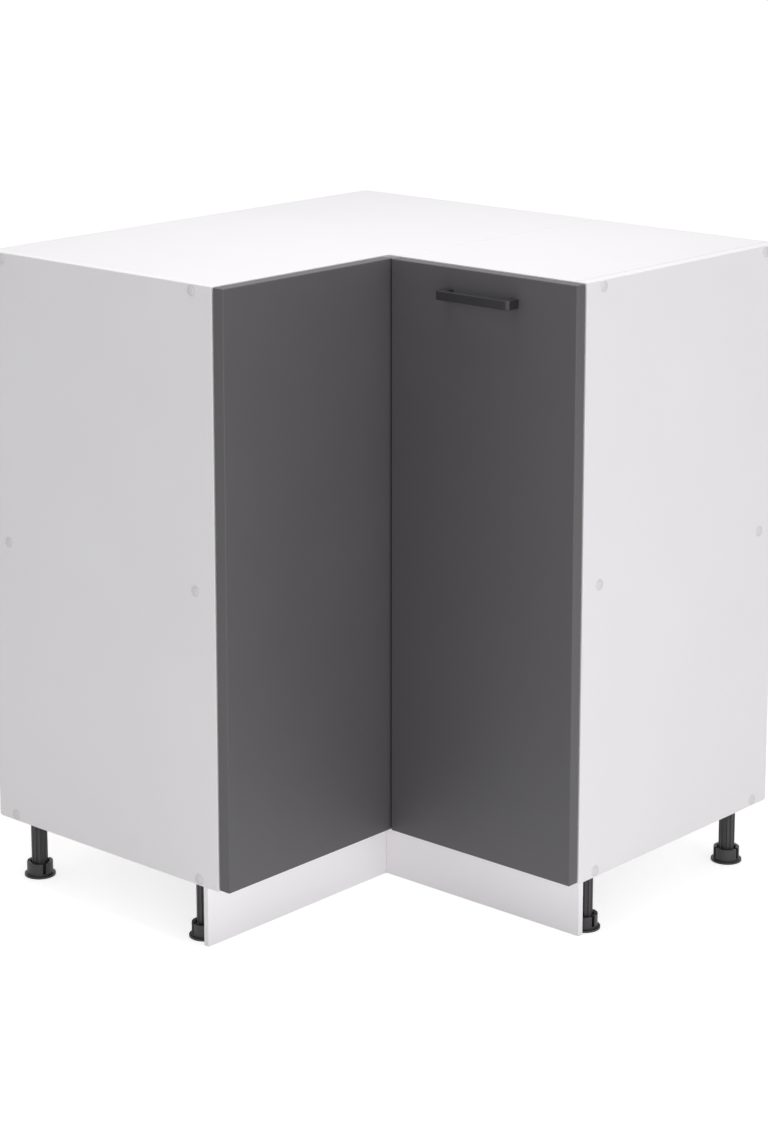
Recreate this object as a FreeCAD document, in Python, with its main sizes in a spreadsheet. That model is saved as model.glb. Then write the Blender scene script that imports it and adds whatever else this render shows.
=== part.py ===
"""Corner base cabinet with a folding pair of door leaves, on six levelling legs.

Millimetres, +Z up. The origin is on the floor, at the middle of the square that the cabinet fills.
The walls stand at -X and +Y, and the inner corner of the L opens towards +X and -Y.
"""
import FreeCAD, Part
import math
import os
import re
import Sketcher

from FreeCAD import Placement, Rotation, Vector

# Driving sizes, one spreadsheet cell each
SIZES = {
    # Carcass of white board
    "overall_width": 700,
    "carcass_height": 732,
    "leg_height": 84,
    "arm_depth": 394,
    "board": 16,
    "back_thickness": 3,
    "back_edge_gap": 1,
    "seam_offset": 16,
    "seam_gap": 0.4,
    "shelf_setback": 6,
    # Screws through the sides, and the caps over them
    "screw_inset": 32,
    "screw_head_diameter": 10,
    "screw_head_depth": 4,
    "screw_shank_diameter": 7,
    "screw_thread_diameter": 5,
    "screw_length": 50,
    "fit_clearance": 0.1,
    "cap_diameter": 14,
    "cap_proud": 1,
    "cap_edge_radius": 0.6,
    # Dowels across the seams and nails in the backs
    "dowel_diameter": 8,
    "dowel_length": 30,
    "dowel_end_inset": 60,
    "nail_diameter": 1.6,
    "nail_head_diameter": 4,
    "nail_head_depth": 0.8,
    "nail_length": 18,
    "nail_end_inset": 90,
    "nail_pitch": 150,
    # Legs
    "leg_side_inset": 39,
    "leg_back_inset": 30,
    "leg_front_inset": 62.5,
    "leg_corner_inset": 30,
    "column_diameter": 20.8,
    "flute_diameter": 2.6,
    "flute_top_gap": 4,
    "spigot_diameter": 10,
    "spigot_length": 4,
    "foot_base_height": 5,
    "flange_diameter": 40,
    "flange_height": 2.5,
    "sleeve_diameter": 33.4,
    "sleeve_bore": 25,
    "sleeve_height": 18.5,
    "slot_width": 4.4,
    "stem_diameter": 12,
    "stem_length": 40,
    "stem_clearance": 0.3,
    # Plinth, its clip on the corner leg and its blocks under the bottom boards
    "plinth_thickness": 8,
    "plinth_setback": 32.5,
    "left_plinth_inset": 15,
    "right_plinth_inset": 24,
    "plinth_floor_gap": 0.5,
    "plinth_top_gap": 2,
    "plinth_butt_gap": 0.3,
    "clip_wall": 3,
    "clip_height": 12,
    "clip_level": 46,
    "clip_clearance": 0.25,
    "clip_mouth": 14,
    "clip_plate_width": 44,
    "clip_screw_spacing": 34,
    "block_wall": 3,
    "block_leg": 26,
    "block_width": 20,
    "block_end_inset": 100,
    "block_screw_share": 0.6,
    "small_screw_diameter": 3.5,
    "small_screw_head_diameter": 7,
    "small_screw_head_height": 2,
    "small_screw_bite": 6.5,
    "corner_screw_length": 45,
    "corner_screw_spacing": 40,
    # Door leaves
    "leaf_thickness": 16,
    "leaf_gap": 1.5,
    "leaf_edge_gap": 1,
    "leaf_top_gap": 1,
    "leaf_bottom_gap": 2,
    "leaf_edge_radius": 1.2,
    "corner_slack": 2.5,
    "corner_past": 5,
    # Handle
    "handle_length": 112,
    "handle_height": 11,
    "handle_reach": 20,
    "handle_bar_depth": 7,
    "handle_leg_width": 12,
    "handle_drop": 32.5,
    "handle_corner_radius": 4.5,
    "handle_edge_radius": 0.7,
    "handle_screw_diameter": 4,
    "handle_screw_bite": 9,
    # Cups that both kinds of hinge share
    "hinge_inset": 100,
    "cup_diameter": 35,
    "cup_depth": 12,
    "cup_wall": 1.1,
    "cup_edge": 5,
    "cup_flange_width": 30,
    "cup_flange_height": 56,
    "cup_flange_thickness": 0.8,
    "cup_screw_spacing": 45,
    "cup_screw_offset": 6,
    "hinge_pin_diameter": 3,
    "pin_clearance": 0.05,
    "lever_width": 2.5,
    "lever_height": 10.4,
    "eye_diameter": 5.2,
    "cheek_thickness": 1.5,
    "cheek_clearance": 0.2,
    # Hinge of the left leaf on the side panel: places from the leaf's outer edge and the carcass front
    "plate_thickness": 4,
    "plate_length": 42,
    "plate_setback": 16,
    "plate_height": 18,
    "wing_length": 14,
    "wing_height": 46,
    "wing_screw_spacing": 32,
    "arm_thickness": 2,
    "arm_start_setback": 6,
    "arm_length": 48,
    "cheek_length": 18,
    "arm_pin_from_edge": 32,
    "arm_pin_setback": 2,
    "arm_nose": 2.2,
    "cup_pin_from_edge": 10.7,
    "cup_pin_depth": 2.8,
    "lever_crown_from_edge": 18.7,
    "lever_crown_depth": 6.9,
    # Folding hinge between the leaves: places from the leaves' inner ends and back faces
    "fold_plate_thickness": 2,
    "fold_plate_length": 44,
    "fold_plate_height": 36,
    "fold_plate_setback": 13,
    "fold_screw_spacing": 26,
    "fold_pin_back": 4.1,
    "fold_pin_inset": 6.8,
    "fold_cup_pin_from_end": 19.9,
    "fold_cup_pin_depth": 3.4,
    "fold_crown_back": 6,
    "fold_eye_diameter": 8.8,
    "fold_eye_bore": 6.2,
    # Buffers behind the right leaf
    "buffer_diameter": 8,
    "buffer_clearance": 0.2,
    "buffer_end_inset": 40,
}

# Places worked out from the sizes
PLACES = {
    "half": "overall_width / 2",
    "wall": "back_thickness - half",
    "front": "arm_depth - half",
    "side_out": "half - cap_proud",
    "side_in": "side_out - board",
    "underside": "leg_height",
    "top": "leg_height + carcass_height",
    "bottom_level": "underside + board / 2",
    "shelf_level": "underside + carcass_height / 2",
    "top_level": "top - board / 2",
    "seam": "front + seam_offset",
    "leaf_back": "front + leaf_gap",
    "leaf_front": "leaf_back + leaf_thickness",
    "leaf_edge": "side_out - leaf_edge_gap",
    "leaf_low": "underside + leaf_bottom_gap",
    "leaf_high": "top - leaf_top_gap",
    "left_leaf_end": "corner_past - leaf_front",
    "right_leaf_end": "leaf_front + corner_slack",
    "plinth_front": "front - plinth_setback",
    "plinth_back": "plinth_front - plinth_thickness",
    "left_plinth_end": "side_out - left_plinth_inset",
    "right_plinth_end": "side_out - right_plinth_inset",
    "leg_back": "half - leg_back_inset",
    "leg_side": "side_out - leg_side_inset",
    "leg_front": "front - leg_front_inset",
    "handle_level": "top - handle_drop",
    "handle_middle": "(right_leaf_end + leaf_edge) / 2",
    "hinge_low": "leaf_low + hinge_inset",
    "hinge_high": "leaf_high - hinge_inset",
    "cheek_in": "lever_height / 2 + cheek_clearance",
    "cheek_out": "cheek_in + cheek_thickness",
    "plate_face": "side_in - plate_thickness",
    "arm_pin_x": "front - arm_pin_setback",
    "arm_pin_y": "arm_pin_from_edge - leaf_edge",
    "cup_pin_x": "leaf_back + cup_pin_depth",
    "cup_pin_y": "cup_pin_from_edge - leaf_edge",
    "cup_centre": "cup_edge + cup_diameter / 2",
    "fold_pin_x": "leaf_back - fold_pin_back",
    "fold_pin_y": "left_leaf_end - fold_pin_inset",
    "fold_cup_pin_x": "right_leaf_end + fold_cup_pin_from_end",
    "fold_cup_pin_y": "-leaf_back - fold_cup_pin_depth",
}

BOARD_LEVELS = {"bottom": "bottom_level", "shelf": "shelf_level", "top": "top_level"}
HINGE_LEVELS = ("hinge_low", "hinge_high")
WORD = re.compile(r"[A-Za-z_][A-Za-z_0-9]*")
AXES = {
    "x": Rotation(Vector(0, 0, 1), Vector(1, 0, 0)),
    "-x": Rotation(Vector(0, 0, 1), Vector(-1, 0, 0)),
    "y": Rotation(Vector(0, 0, 1), Vector(0, 1, 0)),
    "-y": Rotation(Vector(0, 0, 1), Vector(0, -1, 0)),
    "z": Rotation(),
}

doc = FreeCAD.newDocument("corner_base_cabinet")
sheet = doc.addObject("Spreadsheet::Sheet", "Sizes")
for row, (alias, value) in enumerate(SIZES.items(), start=1):
    sheet.set(f"A{row}", alias)
    sheet.set(f"B{row}", str(value))
    sheet.setAlias(f"B{row}", alias)
doc.recompute()
nodes = []


def spell(text):
    """Write an expression with every size as a cell of the sheet and every place worked out."""
    def swap(match):
        word = match.group(0)
        if word in SIZES:
            return "Sizes." + word
        if word in PLACES:
            return "(" + spell(PLACES[word]) + ")"
        return word
    return WORD.sub(swap, str(text))


def point(x, y, z):
    """A bound point and where it is, for the few shapes that are made from points."""
    item = put(doc.addObject("Part::Vertex", "Point"), x, y, z)
    item.recompute()
    return Vector(item.Placement.Base)


def put(item, x, y, z):
    for letter, text in zip("xyz", (x, y, z)):
        item.setExpression(f"Placement.Base.{letter}", spell(text))
    return item


def box(x, y, z):
    """A block between two places on each axis."""
    item = doc.addObject("Part::Box", "Block")
    for prop, (low, high) in zip(("Length", "Width", "Height"), (x, y, z)):
        item.setExpression(prop, spell(f"({high}) - ({low})"))
    return put(item, x[0], y[0], z[0])


def rod(axis, x, y, z, diameter, length):
    """A cylinder that starts at a point and runs along an axis."""
    item = doc.addObject("Part::Cylinder", "Rod")
    item.Placement = Placement(Vector(), AXES[axis])
    item.setExpression("Radius", spell(f"({diameter}) / 2"))
    item.setExpression("Height", spell(length))
    return put(item, x, y, z)


def along(axis, x, y, z, distance):
    """The point at a distance along an axis."""
    sign = "-" if axis.startswith("-") else "+"
    point = {"x": x, "y": y, "z": z}
    point[axis[-1]] = f"({point[axis[-1]]}) {sign} ({distance})"
    return point["x"], point["y"], point["z"]


def fuse(items):
    if len(items) == 1:
        return items[0]
    item = doc.addObject("Part::MultiFuse", "Joined")
    item.Shapes = items
    item.Refine = True
    return item


def cut(base, tools):
    item = doc.addObject("Part::Cut", "Shaped")
    item.Base = base
    item.Tool = fuse(tools)
    return item


def group(items):
    item = doc.addObject("Part::Compound", "Set")
    item.Links = items
    return item


def node(name, item):
    item.Label = name
    nodes.append(item)
    return item


def stepped(axis, x, y, z, steps, extra="0"):
    """Coaxial cylinders, each from one distance to the next along an axis: a screw, or its hole."""
    rods = []
    for diameter, start, stop in steps:
        at = along(axis, x, y, z, start)
        rods.append(rod(axis, *at, f"{diameter} + 2 * {extra}", f"({stop}) - ({start})"))
    return rods


def fastener(axis, x, y, z, steps):
    return fuse(stepped(axis, x, y, z, steps))


def flip(x, y):
    """The same place in the other arm of the L."""
    return f"-({y})", f"-({x})"


def block_in_arm(arm, x, y, z):
    """A block given for the left arm, or its mirror image in the right arm."""
    if arm == "left":
        return box(x, y, z)
    return box((f"-({y[1]})", f"-({y[0]})"), (f"-({x[1]})", f"-({x[0]})"), z)


# Fasteners of the carcass: where they are, and their steps from the outer face inwards
SIDE_SCREW = [
    ("screw_head_diameter", "0", "screw_head_depth"),
    ("screw_shank_diameter", "screw_head_depth", "board"),
    ("screw_thread_diameter", "board", "screw_length"),
]
NAIL = [
    ("nail_head_diameter", "0", "nail_head_depth"),
    ("nail_diameter", "nail_head_depth", "nail_length"),
]


def side_screw_points(level):
    """Axis and start of the two screws of one board level in each side."""
    points = {"left": [], "right": []}
    for x in ("screw_inset - half", "front - screw_inset"):
        points["left"].append(("y", x, "-side_out", level))
        right_x, right_y = flip(x, "-side_out")
        points["right"].append(("-x", right_x, right_y, level))
    return points


def back_nail_points(level):
    """Nails of one board level: four through the left back, two in each board through the right back."""
    starts = ("nail_end_inset - side_in", "half - nail_end_inset")
    left = []
    for start, step in zip(starts, ("+", "-")):
        for count in range(2):
            left.append(("x", "-half", f"{start} {step} {count} * nail_pitch", level))
    long_board = [("-y", f"nail_end_inset - half + {count} * nail_pitch", "half", level)
                  for count in range(2)]
    short_board = [("-y", f"side_in - nail_end_inset - {count} * nail_pitch / 2", "half", level)
                   for count in range(2)]
    return left, long_board, short_board


def side_nail_points(arm):
    """Nails through the back into a side panel's rear edge."""
    points = []
    for share in (1, 2, 4, 5):
        level = f"underside + {share} * carcass_height / 6"
        if arm == "left":
            points.append(("x", "-half", "board / 2 - side_out", level))
        else:
            points.append(("-y", "side_out - board / 2", "half", level))
    return points


def holes(points, steps):
    tools = []
    for axis, x, y, z in points:
        tools += stepped(axis, x, y, z, steps, "fit_clearance")
    return tools


def dowel_points(level):
    """Dowels across the seam of one board level, from inside the long board."""
    start = "seam - dowel_length / 2"
    return [("x", start, "dowel_end_inset - front", level), ("x", start, "half - dowel_end_inset", level)]


DOWEL = [("dowel_diameter", "0", "dowel_length")]


def side_panels():
    """Two upright sides, drilled for the screws of all three board levels."""
    for arm in ("left", "right"):
        panel = block_in_arm(arm, ("wall", "front"), ("-side_out", "-side_in"), ("underside", "top"))
        tools = holes(side_nail_points(arm), NAIL)
        for level in BOARD_LEVELS.values():
            tools += holes(side_screw_points(level)[arm], SIDE_SCREW)
        for hinge in HINGE_LEVELS:
            if arm == "left":
                tools += wing_screw_holes(hinge)
        node(f"{arm}_side_panel", cut(panel, tools))


def boards():
    """Top, shelf and bottom: a long board with a step at the inner corner, and a short board beside it."""
    for name, level in BOARD_LEVELS.items():
        edge = "front - shelf_setback" if name == "shelf" else "front"
        span = (f"{level} - board / 2", f"{level} + board / 2")
        screws = side_screw_points(level)
        left_nails, long_nails, short_nails = back_nail_points(level)
        dowels = holes(dowel_points(level), DOWEL)
        arm = box(("wall", edge), ("-side_in", "-wall"), span)
        step = box((edge, "seam"), (f"-({edge})", "-wall"), span)
        tools = holes(screws["left"], SIDE_SCREW) + holes(left_nails + long_nails, NAIL) + dowels
        if name == "bottom":
            tools += [spigot_hole(leg) for leg in LEGS if LEGS[leg]["board"] == "long"]
            tools += block_board_hole("left")
        node(f"{name}_long_board", cut(fuse([arm, step]), tools))
        short = box(("seam + seam_gap", "side_in"), (f"-({edge})", "-wall"), span)
        tools = holes(screws["right"], SIDE_SCREW) + holes(short_nails, NAIL)
        tools += holes(dowel_points(level), DOWEL)
        if name == "bottom":
            tools += [spigot_hole(leg) for leg in LEGS if LEGS[leg]["board"] == "short"]
            tools += block_board_hole("right")
        node(f"{name}_short_board", cut(short, tools))


def back_panels():
    """Thin backs nailed over the rear edges, meeting at the rear corner."""
    span = ("underside + back_edge_gap", "top - back_edge_gap")
    left = box(("-half", "wall"), ("back_edge_gap - side_out", "-wall"), span)
    right = box(("-half", "side_out - back_edge_gap"), ("-wall", "half"), span)
    left_points = side_nail_points("left")
    right_points = side_nail_points("right")
    for level in BOARD_LEVELS.values():
        through_left, long_nails, short_nails = back_nail_points(level)
        left_points += through_left
        right_points += long_nails + short_nails
    node("left_back_panel", cut(left, holes(left_points, NAIL)))
    node("right_back_panel", cut(right, holes(right_points, NAIL)))
    nails = [fastener(*point, NAIL) for point in left_points + right_points]
    node("back_panel_nails", group(nails))


def carcass_fasteners():
    """Side screws, the caps over their heads, and the dowels in the seams."""
    for arm in ("left", "right"):
        screws, caps = [], []
        for level in BOARD_LEVELS.values():
            for axis, x, y, z in side_screw_points(level)[arm]:
                screws.append(fastener(axis, x, y, z, SIDE_SCREW))
                caps.append(cap(axis, x, y, z))
        node(f"{arm}_side_screws", group(screws))
        node(f"{arm}_cover_caps", group(caps))
    dowels = []
    for level in BOARD_LEVELS.values():
        dowels += [fastener(*point, DOWEL) for point in dowel_points(level)]
    node("seam_dowels", group(dowels))


def cap(axis, x, y, z):
    """A round cap on the face, with its rim worn down by a cone."""
    outward = axis[1:] if axis.startswith("-") else "-" + axis
    rim = rod(outward, x, y, z, "cap_diameter", "cap_proud - cap_edge_radius")
    crown = doc.addObject("Part::Cone", "Crown")
    crown.Placement = Placement(Vector(), AXES[outward])
    crown.setExpression("Radius1", spell("cap_diameter / 2"))
    crown.setExpression("Radius2", spell("cap_diameter / 2 - 2 * cap_edge_radius"))
    crown.setExpression("Height", spell("cap_edge_radius"))
    put(crown, *along(outward, x, y, z, "cap_proud - cap_edge_radius"))
    return fuse([rim, crown])


# Where each leg stands, the bottom board it plugs into, and how far its foot is turned, in degrees
LEGS = {
    "rear_left": {"x": "-leg_back", "y": "-leg_side", "board": "long", "turn": -22},
    "front_left": {"x": "leg_front", "y": "-leg_side", "board": "long", "turn": 9},
    "inner_corner": {"x": "leg_front", "y": "-plinth_back - leg_corner_inset", "board": "long", "turn": 0},
    "rear_corner": {"x": "-leg_back", "y": "leg_back", "board": "long", "turn": 0},
    "front_right": {"x": "leg_side", "y": "-leg_front", "board": "short", "turn": -10},
    "rear_right": {"x": "leg_side", "y": "leg_back", "board": "short", "turn": 3},
}
FLUTES = 12
SLOTS = 3


def spigot_hole(leg):
    place = LEGS[leg]
    return rod("z", place["x"], place["y"], "underside", "spigot_diameter + 2 * fit_clearance",
               "spigot_length + fit_clearance")


def legs():
    """Ribbed column plugged into the bottom board, on a notched foot that screws up inside it."""
    for leg, place in LEGS.items():
        x, y = place["x"], place["y"]
        shaft = rod("z", x, y, "foot_base_height", "column_diameter", "underside - foot_base_height")
        spigot = rod("z", x, y, "underside", "spigot_diameter", "spigot_length")
        tools = [rod("z", x, y, "foot_base_height", "stem_diameter + 2 * stem_clearance",
                     "stem_length + stem_clearance")]
        for count in range(FLUTES):
            angle = 2 * math.pi * count / FLUTES
            tools.append(rod("z", f"{x} + column_diameter / 2 * {math.cos(angle):.6f}",
                             f"{y} + column_diameter / 2 * {math.sin(angle):.6f}", "foot_base_height",
                             "flute_diameter", "underside - foot_base_height - flute_top_gap"))
        node(f"leg_column_{leg}", cut(fuse([shaft, spigot]), tools))
        flange = rod("z", x, y, "0", "flange_diameter", "flange_height")
        base = rod("z", x, y, "flange_height", "sleeve_diameter", "foot_base_height - flange_height")
        sleeve = rod("z", x, y, "foot_base_height", "sleeve_diameter", "sleeve_height - foot_base_height")
        slots = [rod("z", x, y, "foot_base_height", "sleeve_bore", "sleeve_height - foot_base_height")]
        for count in range(SLOTS):
            slot = box(("0", "sleeve_diameter"), ("-slot_width / 2", "slot_width / 2"),
                       ("foot_base_height", "sleeve_height + slot_width"))
            slots.append(turned(slot, x, y, place["turn"] + 360 * count / SLOTS))
        stem = rod("z", x, y, "foot_base_height", "stem_diameter", "stem_length")
        node(f"leg_foot_{leg}", fuse([flange, base, cut(sleeve, slots), stem]))


def turned(item, x, y, degrees):
    """A block about the origin, turned on the vertical and carried to a place in plan."""
    holder = doc.addObject("Part::Compound", "Turned")
    holder.Links = [item]
    holder.Placement = Placement(Vector(), Rotation(Vector(0, 0, 1), degrees))
    return put(holder, x, y, "0")


CLIP_LEG = "inner_corner"
CLIP_SCREW = [
    ("small_screw_head_diameter", "-small_screw_head_height", "0"),
    ("small_screw_diameter", "0", "clip_wall + small_screw_bite"),
]
BLOCK_SCREW = [
    ("small_screw_head_diameter", "-small_screw_head_height", "0"),
    ("small_screw_diameter", "0", "block_wall + small_screw_bite"),
]
CORNER_SCREW = [("small_screw_diameter", "0", "corner_screw_length")]


def clip_screw_points():
    """Screws of the clip, from its plate into the left plinth."""
    y = LEGS[CLIP_LEG]["y"]
    return [("x", "plinth_back - clip_wall", f"{y} {side} clip_screw_spacing / 2", "clip_level")
            for side in ("-", "+")]


def corner_screw_points():
    """Screws from behind the left plinth into the end of the right plinth."""
    y = "plinth_thickness / 2 - plinth_front"
    return [("x", "plinth_back", y, f"clip_level {side} corner_screw_spacing / 2") for side in ("-", "+")]


def block_screw_points(arm):
    """Two screws of one block: into the plinth, and up into the bottom board."""
    y = f"block_end_inset - {arm}_plinth_end"
    level = "underside - block_screw_share * block_leg"
    inward = "plinth_back - block_screw_share * block_leg"
    if arm == "left":
        return (("x", "plinth_back - block_wall", y, level), ("z", inward, y, "underside - block_wall"))
    x, plate_y = flip("plinth_back - block_wall", y)
    board_x, board_y = flip(inward, y)
    return (("-y", x, plate_y, level), ("z", board_x, board_y, "underside - block_wall"))


def block_board_hole(arm):
    """Hole in a bottom board for the screw of a block."""
    return holes([block_screw_points(arm)[1]], BLOCK_SCREW[1:])


def plinths():
    """Two plinth boards that butt at the inner corner, clipped on the corner leg and held by blocks."""
    span = ("plinth_floor_gap", "underside - plinth_top_gap")
    left = box(("plinth_back", "plinth_front"), ("-left_plinth_end", "-plinth_back"), span)
    right = box(("plinth_front + plinth_butt_gap", "right_plinth_end"),
                ("-plinth_front", "-plinth_back"), span)
    tools = holes(clip_screw_points(), CLIP_SCREW[1:]) + holes(corner_screw_points(), CORNER_SCREW)
    node("left_plinth", cut(left, tools + holes([block_screw_points("left")[0]], BLOCK_SCREW[1:])))
    tools = holes(corner_screw_points(), CORNER_SCREW)
    node("right_plinth", cut(right, tools + holes([block_screw_points("right")[0]], BLOCK_SCREW[1:])))
    node("plinth_clip", plinth_clip())
    node("plinth_blocks", group([plinth_block(arm) for arm in ("left", "right")]))
    screws = [fastener(*point, CLIP_SCREW) for point in clip_screw_points()]
    for arm in ("left", "right"):
        screws += [fastener(*point, BLOCK_SCREW) for point in block_screw_points(arm)]
    node("plinth_fixing_screws", group(screws))
    node("plinth_corner_screws", group([fastener(*point, CORNER_SCREW) for point in corner_screw_points()]))


def plinth_clip():
    """An open ring that snaps on the corner leg, with a plate against the left plinth."""
    x, y = LEGS[CLIP_LEG]["x"], LEGS[CLIP_LEG]["y"]
    span = ("clip_level - clip_height / 2", "clip_level + clip_height / 2")
    plate = box(("plinth_back - clip_wall", "plinth_back"),
                (f"{y} - clip_plate_width / 2", f"{y} + clip_plate_width / 2"), span)
    neck = box((f"{x} + column_diameter / 2", "plinth_back - clip_wall"),
               (f"{y} - clip_wall * 2", f"{y} + clip_wall * 2"), span)
    mouth = box((f"{x} - column_diameter", x), (f"{y} - clip_mouth / 2", f"{y} + clip_mouth / 2"), span)
    ring = rod("z", x, y, span[0], "column_diameter + 2 * clip_clearance + 2 * clip_wall", "clip_height")
    bore = rod("z", x, y, span[0], "column_diameter + 2 * clip_clearance", "clip_height")
    body = cut(fuse([plate, neck, ring]), [bore, mouth])
    return cut(body, holes(clip_screw_points(), CLIP_SCREW[1:]))


def plinth_block(arm):
    """An angle block behind a plinth, one wing on the plinth and one under the bottom board."""
    y = f"block_end_inset - {arm}_plinth_end"
    width = (f"{y} - block_width / 2", f"{y} + block_width / 2")
    upright = block_in_arm(arm, ("plinth_back - block_wall", "plinth_back"), width,
                           ("underside - block_leg", "underside"))
    flat = block_in_arm(arm, ("plinth_back - block_leg", "plinth_back"), width,
                        ("underside - block_wall", "underside"))
    return cut(fuse([upright, flat]), holes(block_screw_points(arm), BLOCK_SCREW[1:]))


def padded_block(name, length, width, height, radius, front_radius=None):
    """A block made as a sketched pad, its front corners rounded if asked, and all its edges eased."""
    body = doc.addObject("PartDesign::Body", name)
    sketch = body.newObject("Sketcher::SketchObject", name + "_outline")
    plane = [item for item in body.Origin.OriginFeatures if item.Role == "XY_Plane"][0]
    sketch.AttachmentSupport = [(plane, "")]
    sketch.MapMode = "FlatFace"
    corners = [Vector(0, 0, 0), Vector(10, 0, 0), Vector(10, 10, 0), Vector(0, 10, 0)]
    rectangle(sketch, corners, length, width)
    last = body.newObject("PartDesign::Pad", name + "_pad")
    last.Profile = sketch
    last.setExpression("Length", spell(height))
    doc.recompute()
    if front_radius:
        rounded = body.newObject("PartDesign::Fillet", name + "_corners")
        rounded.Base = (last, front_corner_edges(last.Shape))
        rounded.setExpression("Radius", spell(front_radius))
        doc.recompute()
        last = rounded
    eased = body.newObject("PartDesign::Fillet", name + "_eased")
    eased.Base = (last, [""])
    eased.UseAllEdges = True
    eased.setExpression("Radius", spell(radius))
    body.Tip = eased
    return body


def front_corner_edges(shape):
    """Names of the upright edges on a block's front face."""
    front = shape.BoundBox.YMin
    found = []
    for count, edge in enumerate(shape.Edges, start=1):
        upright = abs(edge.tangentAt(edge.FirstParameter).z) > 0.99
        if upright and abs(edge.CenterOfMass.y - front) < edge.Length / 100:
            found.append(f"Edge{count}")
    return found


def rectangle(sketch, corners, length, width):
    """A rectangle from the sketch's origin, its two sides bound to sizes."""
    for count in range(4):
        sketch.addGeometry(Part.LineSegment(corners[count], corners[(count + 1) % 4]), False)
    for count in range(4):
        sketch.addConstraint(Sketcher.Constraint("Coincident", count, 2, (count + 1) % 4, 1))
    for count, kind in enumerate(("Horizontal", "Vertical", "Horizontal", "Vertical")):
        sketch.addConstraint(Sketcher.Constraint(kind, count))
    sketch.addConstraint(Sketcher.Constraint("Coincident", 0, 1, -1, 1))
    across = sketch.addConstraint(Sketcher.Constraint("DistanceX", 0, 1, 0, 2, 10))
    deep = sketch.addConstraint(Sketcher.Constraint("DistanceY", 1, 1, 1, 2, 10))
    sketch.renameConstraint(across, "across")
    sketch.renameConstraint(deep, "deep")
    sketch.setExpression("Constraints.across", spell(length))
    sketch.setExpression("Constraints.deep", spell(width))


CUP_SCREW = [("small_screw_diameter", "-cup_flange_thickness", "small_screw_bite")]
FOLD_SCREW = [("small_screw_diameter", "-fold_plate_thickness", "small_screw_bite")]
WING_SCREW = [("small_screw_diameter", "-plate_thickness", "small_screw_bite")]
HEAD = ("small_screw_head_diameter", "-small_screw_head_height")


def headed(steps):
    """A screw's steps with a round head on the outside of what it holds."""
    start = steps[0][1]
    return [(HEAD[0], f"{start} {HEAD[1]}", start)] + steps


def cup_points(leaf, level):
    """Axis into the leaf, centre of the cup on its back face, and its two screws."""
    screw = "cup_centre + cup_screw_offset"
    if leaf == "left":
        centre = ("x", "leaf_back", "cup_centre - leaf_edge", level)
        screws = [("x", "leaf_back", f"{screw} - leaf_edge", f"{level} {side} cup_screw_spacing / 2")
                  for side in ("-", "+")]
    else:
        centre = ("-y", "right_leaf_end + cup_centre", "-leaf_back", level)
        screws = [("-y", f"right_leaf_end + {screw}", "-leaf_back", f"{level} {side} cup_screw_spacing / 2")
                  for side in ("-", "+")]
    return centre, screws


def cup(leaf, level):
    """Pressed bowl sunk into the leaf, with a flange on its back face."""
    (axis, x, y, z), screws = cup_points(leaf, level)
    bowl = rod(axis, x, y, z, "cup_diameter - 2 * fit_clearance", "cup_depth")
    span = (f"{level} - cup_flange_height / 2", f"{level} + cup_flange_height / 2")
    middle = f"{y} + cup_wall" if leaf == "left" else f"{x} + cup_wall"
    across = (f"{middle} - cup_flange_width / 2", f"{middle} + cup_flange_width / 2")
    if leaf == "left":
        flange = box(("leaf_back - cup_flange_thickness", "leaf_back"), across, span)
    else:
        flange = box(across, ("-leaf_back", "cup_flange_thickness - leaf_back"), span)
    rim = rod(axis, *along(axis, x, y, z, "-cup_flange_thickness"), "cup_diameter + cup_wall",
              "cup_flange_thickness")
    hollow = rod(axis, *along(axis, x, y, z, "-cup_flange_thickness"), "cup_diameter - 2 * cup_wall",
                 "cup_depth + cup_flange_thickness - cup_wall")
    return cut(fuse([bowl, flange, rim]), [hollow] + holes(screws, CUP_SCREW))


def cup_bore(leaf, level):
    (axis, x, y, z), screws = cup_points(leaf, level)
    return [rod(axis, x, y, z, "cup_diameter", "cup_depth")] + holes(screws, CUP_SCREW)


def cup_pin(leaf, level):
    """Pin across the bowl for the lever's eye, as long as the bowl is wide there."""
    reach = "(abs({0} - cup_centre) + hinge_pin_diameter / 2)"
    chord = f"2 * sqrt((cup_diameter / 2 - cup_wall)^2 - {reach}^2) - 2 * fit_clearance"
    if leaf == "left":
        length = chord.format("cup_pin_from_edge")
        return rod("z", "cup_pin_x", "cup_pin_y", f"{level} - ({length}) / 2", "hinge_pin_diameter", length)
    length = chord.format("fold_cup_pin_from_end")
    return rod("z", "fold_cup_pin_x", "fold_cup_pin_y", f"{level} - ({length}) / 2",
               "hinge_pin_diameter", length)


def handle_screw_points():
    reach = "handle_length / 2 - handle_leg_width / 2"
    return [("-y", f"handle_middle {side} ({reach})", "-leaf_back", "handle_level") for side in ("-", "+")]


HANDLE_SCREW = [("handle_screw_diameter", "0", "leaf_thickness + handle_screw_bite")]


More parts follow.
